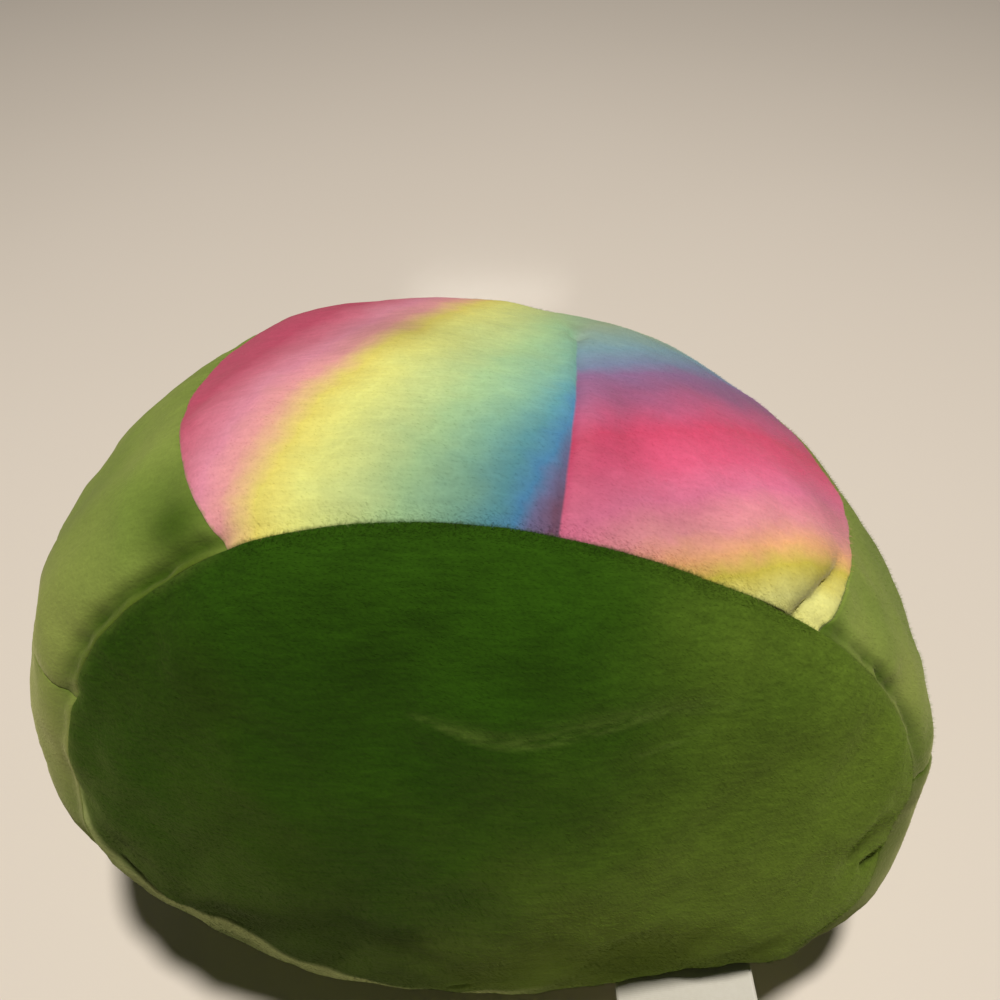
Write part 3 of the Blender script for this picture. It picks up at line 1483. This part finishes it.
def make_back(side, word):
    crown = Trail(np.repeat(aim(0, 90)[None], 3, 0) + np.array([[0, 0, 0], [1e-7, 0, 0], [2e-7, 0, 0]]))
    directions = fill_seams(rim_back[side], crown, side_seams[side], back_line, BACK_STEP)
    presses = [
        (rim_whole, rim_press, 1),
        crown_seam,
        (back_line, seam_press(43, 0.7), 1),
        creased(*SLIT),
    ] + eye_rings
    cover_panel(f"back_cover_{word}", green_finish, directions, presses, BACK_PILE, side_layers(directions))


def make_filling():
    lons = np.linspace(0, 360, FILLING_COLUMNS, endpoint=False)
    d = aim(*np.meshgrid(lons, np.linspace(-90, 90, FILLING_ROWS)))
    dented = np.clip(spotted(skin(d), COVER_DENTS), 0, None)
    points = skin(d, FILLING_DEPTH + dented + FILLING_UNEVENNESS * swell(skin(d), 13, 17))
    faces = grid_faces(FILLING_ROWS, FILLING_COLUMNS, True).tolist()
    filling = close_up(object_from("body_filling", points.reshape(-1, 3), faces))
    stand_for(filling, "body_stuffing", fill_finish)


# Eye bumps


class EyeBump:
    """A ball of covered stuffing, sewn where it meets the body."""

    def __init__(self, side, word):
        self.word = word
        seat = aim(COVER_SHIFT + side * EYE_ANGLE, EYE_LAT)
        self.outward = skin_normal(seat)
        self.centre = skin(seat) - EYE_BUMP_SINK * self.outward
        self.side = unit(np.cross([0, 0, 1], self.outward))
        self.over = np.cross(self.outward, self.side)
        turn = np.linspace(0, 2 * np.pi, EYE_COLUMNS, endpoint=False)
        low, high = np.zeros(EYE_COLUMNS), np.full(EYE_COLUMNS, np.pi * 0.8)
        for _ in range(18):
            half = (low + high) / 2
            p = from_middle(self.ball(half, turn, EYE_BUMP_RADIUS))
            inside = reach(unit(p)) > np.linalg.norm(p, axis=-1)
            low, high = np.where(inside, low, half), np.where(inside, half, high)
        self.turn, self.edge = turn, low
        ring = from_middle(self.ball(low, turn, EYE_BUMP_RADIUS))
        self.ring = Trail(unit(np.concatenate([ring, ring[:1]])))

    def ball(self, tilt, turn, radius):
        tilt, turn, radius = np.broadcast_arrays(tilt, turn, radius)
        across = np.cos(turn)[..., None] * self.side + np.sin(turn)[..., None] * self.over
        line = np.cos(tilt)[..., None] * self.outward + np.sin(tilt)[..., None] * across
        return self.centre + radius[..., None] * line

    def make_cover(self):
        shares = graded(2 * 1.4 * EYE_BUMP_RADIUS, EYE_STEP)
        shares = 1 - 2 * shares[: len(shares) // 2 + 1]
        shares[-1] = 0
        tilt = np.clip(shares, 0, 1)[::-1, None] * self.edge
        gap = (self.edge - tilt) * EYE_BUMP_RADIUS
        mark = self.turn * EYE_BUMP_RADIUS + 0 * gap
        places = self.ball(tilt, self.turn, EYE_BUMP_RADIUS)
        press = roll_under(gap, EYE_SEAM_DEPTH, EYE_SEAM_ROLL) + gathers(gap, mark, 57, EYE_PUCKER)
        press += EYE_UNEVENNESS * swell(places, 21, 9)
        outer = self.ball(tilt, self.turn, EYE_BUMP_RADIUS - press)
        inner = self.ball(tilt, self.turn, EYE_BUMP_RADIUS - press - CLOTH)
        name = f"eye_cover_{self.word}"
        even = np.ones_like(press)
        carried = {"pressed": press, "pile": even, "stray": even, "edge": 0 * press, "nap": 0 * press}
        cover = two_layers(name, outer, inner, True, carried)
        stand_for(cover, COVER_NODES[name], green_finish)
        loose_pile(cover, green_finish, *SIDE_PILE)

    def make_filling(self):
        tilt = np.linspace(0, EYE_FILLING_EDGE, EYE_FILLING_ROWS)[:, None] * self.edge
        dome = self.ball(tilt, self.turn, EYE_BUMP_RADIUS - EYE_FILLING_DEPTH)
        sole_edge = skin(unit(from_middle(dome[-1])), -EYE_FILLING_LIFT)
        seat = from_middle(self.centre + EYE_BUMP_SINK * self.outward)
        centre = skin(unit(seat), -EYE_FILLING_LIFT)
        sole = between(centre, sole_edge, np.linspace(0, 1, EYE_SOLE_ROWS)[:, None, None])
        sole = skin(unit(from_middle(sole)), -EYE_FILLING_LIFT)
        filling = two_layers(f"eye_filling_{self.word}", dome, sole_like(dome, sole), True)
        stand_for(filling, f"eye_stuffing_{self.word}", fill_finish)


def sole_like(dome, sole):
    """The same number of rows as the dome has, between the rows of the sole."""
    at = np.linspace(0, len(sole) - 1, len(dome))
    low = np.floor(at).astype(int).clip(0, len(sole) - 2)
    return between(sole[low], sole[low + 1], (at - low)[:, None, None])


# Lights, floor and camera

CAMERA = (3.1, -165.8, 306.6)
CAMERA_PITCH = 46
PHOTO_LENS = 36
SENSOR = 36
# Lamps: place, what they are turned to, size, power and tone.
CEILING_LAMP = ((0.045, -0.15, 1.5), (0, 0, 0.08), (0.14, 0.14), 21.6, (1, 0.97, 0.935))
FAR_LAMP = ((-0.02, 1.54, 0.86), (0, 0.29, 0), (0.34, 0.03), 0.24, (1, 0.93, 0.84))
ROOM_TONE = (1, 0.98, 0.96, 1)
ROOM_POWER = 0.028
TABLE_HALF = 4000


def make_camera():
    data = bpy.data.cameras.new("photo_camera")
    data.lens = PHOTO_LENS
    data.sensor_width = SENSOR
    data.clip_start = 0.01
    camera = in_scene("photo_camera", data)
    camera.location = [c * MM for c in CAMERA]
    camera.rotation_euler = (math.radians(90 - CAMERA_PITCH), 0, 0)
    bpy.context.scene.camera = camera


def table_top():
    finish = Finish("table_top")
    cloudy = finish.noise(3, 2.0)
    tone = finish.mixed(colour(226, 215, 200), colour(232, 221, 207), cloudy)
    return finish.surface(Base_Color=tone, Roughness=0.125, Specular_IOR_Level=0.25)


def make_floor():
    corners = [(TABLE_HALF * x, TABLE_HALF * y, 0) for x, y in ((-1, -1), (1, -1), (1, 1), (-1, 1))]
    floor = object_from("table_top", corners, [(0, 1, 2, 3)])
    floor.data.materials.append(table_top())


def make_light(name, place, target, size, power, tone):
    data = bpy.data.lights.new(name, "AREA")
    data.shape = "ELLIPSE"
    data.size, data.size_y = size
    data.energy = power
    data.color = tone
    light = in_scene(name, data)
    light.location = place
    light.rotation_euler = (Vector(target) - Vector(place)).to_track_quat("-Z", "Y").to_euler()


def make_lights():
    make_light("ceiling_lamp", *CEILING_LAMP)
    make_light("far_lamp", *FAR_LAMP)
    world = bpy.data.worlds.new("room")
    world.use_nodes = True
    background = world.node_tree.nodes["Background"].inputs
    background["Color"].default_value = ROOM_TONE
    background["Strength"].default_value = ROOM_POWER
    bpy.context.scene.world = world
    bpy.context.scene.view_settings.view_transform = "Standard"


make_camera()
make_floor()
make_lights()
stitch_tree = thread_tree()
fibre_tree = pile_tree()
green_finish = green_velvet()
base_finish = base_velvet()
belly_finish = tie_dye_velvet()
fill_finish = fibre_filling()
tape_finish = satin_tape()
white_felt = felt("white_felt", colour(240, 238, 230))
black_thread = thread("black_thread", colour(22, 21, 23))
white_thread = thread("white_thread", colour(236, 234, 226))
green_thread = thread("green_thread", colour(72, 92, 32), 0.3)


# Eyes, mouth and nostrils


def satin_rows(radius):
    """How far off the middle each row of thread lies that fills a disc, and half its length."""
    offsets = np.arange(-radius + SATIN_SPACING / 2, radius, SATIN_SPACING)
    return [(offset, math.sqrt(radius**2 - offset**2)) for offset in offsets]


def domed(t, offset, radius):
    """How high a dome is at a point of such a row, as a share of its height."""
    return np.sqrt(np.clip(1 - (t**2 + offset**2) / radius**2, 0, 1))


class EyeFace:
    """Directions on the ball about the way the eye looks, for the felt and the embroidery on it."""

    def __init__(self, bump):
        self.bump = bump
        self.outward = aim(COVER_SHIFT, EYE_FACING_UP) @ lying.T
        crown = np.array([0.0, 1.0, 0.0]) @ lying.T
        self.up = unit(crown - self.outward * (crown @ self.outward))
        self.right = np.cross(self.up, self.outward)

    def place(self, x, y, radius):
        """A point on a ball of that radius, x and y millimetres off the eye's middle along the ball."""
        x, y, radius = np.broadcast_arrays(*(np.asarray(value, float) for value in (x, y, radius)))
        away = np.hypot(x, y)
        tilt = away / (EYE_BUMP_RADIUS + TOUCH_GAP)
        share = np.sin(tilt) / np.maximum(away, 1e-9)
        line = np.cos(tilt)[..., None] * self.outward
        line = line + (x * share)[..., None] * self.right + (y * share)[..., None] * self.up
        return self.bump.centre + radius[..., None] * line

    def disc(self, name, low, high, radius, middle_at=(0, 0), seed=1):
        """A felt disc with a rounded, slightly uneven edge."""
        turn = np.linspace(0, 2 * np.pi, FELT_COLUMNS, endpoint=False)
        rounded = 0.9 + 0.1 * np.sin(np.linspace(0, np.pi / 2, 7)[1:])
        shares = np.concatenate([np.linspace(0, 0.9, 14), rounded])
        wobble = 1 + 0.006 * np.sin(3 * turn + seed) + 0.004 * np.sin(7 * turn + 2 * seed)
        x = middle_at[0] + radius * shares[:, None] * np.cos(turn) * wobble
        y = middle_at[1] + radius * shares[:, None] * np.sin(turn) * wobble
        edge = np.clip((shares - 0.93) / 0.07, 0, 1)[:, None]
        top = high - (high - low) * 0.85 * (1 - np.sqrt(1 - edge**2))
        top = top + 0.03 * np.sin(9 * x) * np.cos(8 * y)
        return two_layers(name, self.place(x, y, top), self.place(x, y, low), True)

    def satin(self, radius, low, rise, middle_at=(0, 0), lean=20):
        """Rows of thread that fill a disc, higher in its middle."""
        turn = math.radians(lean)
        strands = []
        for offset, half in satin_rows(radius):
            t = np.linspace(-half, half, max(4, int(half)))
            x = middle_at[0] + t * math.cos(turn) - offset * math.sin(turn)
            y = middle_at[1] + t * math.sin(turn) + offset * math.cos(turn)
            strands.append(self.place(x, y, low + rise * domed(t, offset, 1.02 * radius)))
        return strands


def make_eye(bump):
    face = EyeFace(bump)
    word = bump.word
    low = EYE_BUMP_RADIUS + TOUCH_GAP
    white = face.disc(f"eye_felt_{word}", low, low + EYE_FELT, EYE_WHITE_RADIUS)
    stand_for(white, f"eye_white_{word}", white_felt)
    second = low + EYE_FELT + TOUCH_GAP
    strands = face.satin(PUPIL_RADIUS, second, PUPIL_RISE)
    pupil = threads(f"pupil_stitching_{word}", strands, SATIN_RADIUS, black_thread)
    stand_for(pupil, f"pupil_{word}", black_thread)
    third = second + EYE_FELT + 0.1
    strands = face.satin(GLINT_RADIUS, third, GLINT_RISE, (0, GLINT_OFFSET), 80)
    glint = threads(f"glint_stitching_{word}", strands, SATIN_RADIUS * 0.9, white_thread)
    stand_for(glint, f"glint_{word}", white_thread)
    whips = []
    away = EYE_WHITE_RADIUS + np.array(WHIP_ACROSS)
    height = low + np.array([EYE_FELT - 0.1, EYE_FELT + 0.15, EYE_FELT * 0.6, -0.3])
    for number in range(WHIP_STITCHES):
        turn = 2 * np.pi * (number + 0.15 * math.sin(5 * number)) / WHIP_STITCHES
        slant = turn + np.array(WHIP_SLANT)
        whips.append(face.place(away * np.cos(slant), away * np.sin(slant), height))
    edging = threads(f"eye_edging_{word}", whips, WHIP_RADIUS, white_thread, 5)
    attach(edging, "toy")


def make_mouth():
    strands = []
    steps = np.array(SATIN_ACROSS)
    for number in range(MOUTH_STITCHES):
        across = between(-1, 1, (number + 0.5) / MOUTH_STITCHES)
        lon = COVER_SHIFT + MOUTH_HALF_ANGLE * across
        lat = MOUTH_LAT + MOUTH_CURL * across**2
        half = MOUTH_WIDTH / 2 * math.sqrt(max(0.05, 1 - abs(across) ** 6))
        wide = steps * np.degrees(half / MOUTH_FROM_MIDDLE)
        strands.append(skin(aim(lon + steps * MOUTH_SLANT, lat + wide), -np.array(SATIN_LIFT)))
    mouth = threads("mouth_satin", strands, SATIN_RADIUS, black_thread)
    stand_for(mouth, "mouth_stitching", black_thread)


def make_nostril(side, word):
    seat = aim(COVER_SHIFT + side * NOSTRIL_ANGLE, NOSTRIL_LAT)
    normal = skin_normal(seat)
    across = unit(np.cross([0, 0, 1], normal))
    over = np.cross(normal, across)
    strands = []
    for offset, half in satin_rows(NOSTRIL_RADIUS):
        t = np.linspace(-half, half, 8)[:, None]
        rise = 0.15 + NOSTRIL_HEIGHT * 0.7 * domed(t, offset, 1.05 * NOSTRIL_RADIUS)
        strands.append(skin(seat) + across * t + over * offset + normal * rise)
    nostril = threads(f"nostril_satin_{word}", strands, SATIN_RADIUS, black_thread)
    stand_for(nostril, f"nostril_{word}", black_thread)


def make_closing_stitches():
    """Ladder stitches, drawn down into the seam that they close."""
    strands = []
    count = 2 * CLOSING_CROSSINGS
    t = np.linspace(-1, 1, 5)
    for number in range(count):
        lon = CLOSING_LON + CLOSING_SPAN * ((number + 0.5) / count - 0.5)
        wide = t * np.degrees(CLOSING_REACH / CLOSING_FROM_MIDDLE)
        over = aim(lon + t * 0.1, rim_lat(np.array([lon])) + wide)
        dented = spotted(skin(over), COVER_DENTS)
        strands.append(skin(over, CLOSING_DEPTH + CLOSING_SAG * t**2 + dented - settled.rise(skin(over))))
    stitches = threads("closing_threads", strands, THREAD_RADIUS * 0.5, green_thread, 5)
    stand_for(stitches, "closing_stitch", green_thread)


# Care label


def label_frame():
    """The label's own axes: along the seam, out of it and up, from the hinge line."""

    def at(lon):
        return skin(aim(lon, rim_lat(np.array([lon]))[0]))

    yaw, droop = math.radians(LABEL_YAW), math.radians(LABEL_DROOP)
    out = np.array([math.sin(yaw) * math.cos(droop), -math.cos(yaw) * math.cos(droop), -math.sin(droop)])
    along = unit(at(LABEL_LON + 5.0) - at(LABEL_LON - 5.0))
    along = unit(along - out * (along @ out))
    return at(float(LABEL_LON)) + out * LABEL_LIP, along, out, np.cross(along, out)


def make_label():
    hinge, along, out, above = label_frame()
    end = LABEL_LENGTH - LABEL_FOLD
    leaf = np.linspace(-LABEL_SEWN_IN, end, LABEL_ROWS)
    half_turn = np.linspace(np.pi / 2, -np.pi / 2, LABEL_TURN_ROWS + 2)[1:-1]
    bulge = LABEL_BULGE * np.sin(np.clip(leaf / end, 0, 1) * np.pi)
    open_up = LABEL_SEWN_GAP + (LABEL_FOLD - LABEL_SEWN_GAP + bulge) * smooth(leaf / LABEL_OPENING)
    y = np.concatenate([leaf, end + LABEL_FOLD * np.cos(half_turn), leaf[::-1]])
    z = np.concatenate([open_up, LABEL_FOLD * np.sin(half_turn), -open_up[::-1]])
    lower = np.concatenate([np.zeros(LABEL_ROWS), np.linspace(0, 1, LABEL_TURN_ROWS), np.ones(LABEL_ROWS)])
    tangent = unit(np.stack([np.gradient(y), np.gradient(z)], -1))
    x = np.linspace(-LABEL_WIDTH / 2, LABEL_WIDTH / 2, LABEL_COLUMNS)[None]
    y, z, lower = y[:, None], z[:, None], lower[:, None]
    free = smooth((y + 1) / 12)
    ripple = LABEL_RIPPLES[0] * np.sin(x * 0.16 + 0.5) + LABEL_RIPPLES[1] * np.sin(y * 0.13 + x * 0.05)
    hang = LABEL_HANG * np.clip(y, 0, None) ** 2 + LABEL_ROOT_HANG * np.clip(-y, 0, None) ** 2

    def face(offset):
        xx, yy, zz = np.broadcast_arrays(
            x + LABEL_SLIP * lower * free,
            y + offset * tangent[:, 1:],
            z - offset * tangent[:, :1] + free * ripple - hang,
        )
        return hinge + xx[..., None] * along + yy[..., None] * out + zz[..., None] * above

    label = two_layers("care_tape", face(-LABEL_TAPE / 2), face(LABEL_TAPE / 2))
    stand_for(label, "care_label", tape_finish, None)
    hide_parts("label_root")
    before, after = (hinge - 2 * out) * MM, (hinge + 6 * out) * MM
    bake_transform(label)


eye_bumps = [EyeBump(-1, "left"), EyeBump(1, "right")]
eye_rings = [(bump.ring, seam_press(61 + number, 0.9), 1) for number, bump in enumerate(eye_bumps)]
settled = SettledCover([rim_whole, crown_line, back_line] + [bump.ring for bump in eye_bumps])
make_base()
make_belly()
make_front()
make_back(-1, "left")
make_back(1, "right")
make_filling()
for bump in eye_bumps:
    bump.make_cover()
    bump.make_filling()
    make_eye(bump)
make_mouth()
make_nostril(-1, "left")
make_nostril(1, "right")
make_closing_stitches()
make_label()
